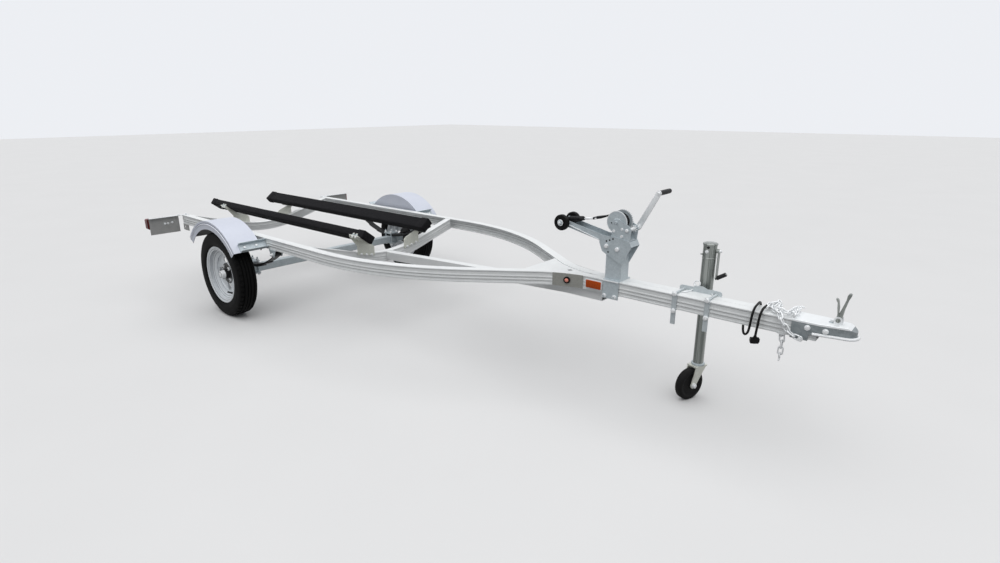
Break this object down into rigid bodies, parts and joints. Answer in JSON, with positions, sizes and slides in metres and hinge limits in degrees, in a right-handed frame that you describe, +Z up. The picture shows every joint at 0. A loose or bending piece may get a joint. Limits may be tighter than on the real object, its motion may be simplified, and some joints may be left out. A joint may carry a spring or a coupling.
{
  "type": "boat trailer",
  "caption": "Single-axle boat trailer: channel rails bent into a tongue, carpeted bunks, fenders, winch stand with bow rollers, swivel jack on a caster and a ball coupler.",
  "frame": {"origin": "on the ground, at the middle of the trailer's length and width", "axes": "+X forward to the coupler, +Y to the trailer's left, +Z up"},
  "size_m": [4.519, 1.684, 0.9272],
  "materials": {
    "aluminium": "mill finish extrusion",
    "fender_skin": "smooth satin",
    "tyre": "new black rubber",
    "rim": "galvanised",
    "galvanised": "galvanised",
    "carpet": "black marine carpet",
    "roller_rubber": "satin black",
    "spring_steel": "black paint",
    "red_lens": "gloss red",
    "amber_lens": "gloss amber",
    "grey_plate": "dull grey",
    "black_grip": "matte black",
    "webbing": "woven black",
    "caster_rubber": "satin black",
    "chain_zinc": "bright zinc",
    "wiring_black": "black sheath"
  },
  "bodies": {
    "frame": {"amber_lights_left": "amber_lens", "amber_lights_right": "amber_lens", "axle": "galvanised", "axle_clamp_left": "galvanised", "axle_clamp_right": "galvanised", "bunk_brackets_left": "galvanised", "bunk_brackets_right": "galvanised", "bunk_left": "carpet", "bunk_right": "carpet", "coupler": "galvanised", "crossmember_front": "aluminium", "crossmember_rear": "aluminium", "fender_arms_left": "galvanised", "fender_arms_right": "galvanised", "fender_left": "fender_skin", "fender_right": "fender_skin", "fork_gusset": "aluminium", "jack_crank": "galvanised", "jack_grip": "black_grip", "jack_mount": "galvanised", "jack_tube": "galvanised", "keel_beam": "aluminium", "rail_left": "aluminium", "rail_right": "aluminium", "roller_shaft": "galvanised", "safety_chains": "chain_zinc", "side_plate_left": "grey_plate", "side_plate_right": "grey_plate", "spring_hangers_left": "galvanised", "spring_hangers_right": "galvanised", "spring_left": "spring_steel", "spring_right": "spring_steel", "strap_hook": "galvanised", "tail_bracket_left": "galvanised", "tail_bracket_right": "galvanised", "tail_lamp_left": "red_lens", "tail_lamp_right": "red_lens", "winch_boom": "galvanised", "winch_frame": "galvanised", "winch_head": "galvanised", "winch_post": "galvanised", "winch_strap": "webbing", "wiring_cord": "wiring_black", "wiring_plug": "wiring_black"},
    "wheel_left": {"hub_left": "galvanised", "rim_left": "rim", "tyre_left": "tyre"},
    "wheel_right": {"hub_right": "galvanised", "rim_right": "rim", "tyre_right": "tyre"},
    "roller_left": {"bow_roller_left": "roller_rubber"},
    "roller_right": {"bow_roller_right": "roller_rubber"},
    "drum": {"winch_drum": "galvanised", "webbing_coil": "webbing"},
    "crank": {"winch_crank": "galvanised", "crank_grip": "black_grip"},
    "leg": {"jack_leg": "galvanised"},
    "yoke": {"caster_yoke": "galvanised"},
    "caster": {"caster_wheel": "caster_rubber"},
    "latch": {"coupler_latch": "galvanised"}
  },
  "joints": [
    {"name": "wheel_left_spin", "type": "hinge", "parent": "frame", "child": "wheel_left", "pos_m": [-1.065, 0.736, 0.269], "axis": [0, 1, 0], "continuous": true},
    {"name": "wheel_right_spin", "type": "hinge", "parent": "frame", "child": "wheel_right", "pos_m": [-1.065, -0.736, 0.269], "axis": [0, 1, 0], "continuous": true},
    {"name": "roller_left_spin", "type": "hinge", "parent": "frame", "child": "roller_left", "pos_m": [1.00112, 0.0485, 0.751], "axis": [0, 1, 0], "continuous": true},
    {"name": "roller_right_spin", "type": "hinge", "parent": "frame", "child": "roller_right", "pos_m": [1.00112, -0.0485, 0.751], "axis": [0, 1, 0], "continuous": true},
    {"name": "drum_spin", "type": "hinge", "parent": "frame", "child": "drum", "pos_m": [1.28212, 0, 0.783], "axis": [0, 1, 0], "continuous": true},
    {"name": "crank_spin", "type": "hinge", "parent": "frame", "child": "crank", "pos_m": [1.33819, 0.05, 0.75319], "axis": [0, 1, 0], "continuous": true},
    {"name": "leg_slide", "type": "slide", "parent": "frame", "child": "leg", "axis": [0, 0, 1], "range_m": [0, 0.225]},
    {"name": "caster_swivel", "type": "hinge", "parent": "leg", "child": "yoke", "pos_m": [1.657, 0.11, 0.157], "axis": [0, 0, 1], "continuous": true},
    {"name": "caster_spin", "type": "hinge", "parent": "yoke", "child": "caster", "pos_m": [1.64127, 0.06677, 0.074], "axis": [0.9397, -0.342, 0], "continuous": true},
    {"name": "latch_lift", "type": "hinge", "parent": "frame", "child": "latch", "pos_m": [2.189, 0, 0.535], "axis": [0, 1, 0], "range_deg": [-75, 0]}
  ],
  "couplings": [
    {"joint": "crank_spin", "follows": "drum_spin", "ratio": -3.5}
  ]
}
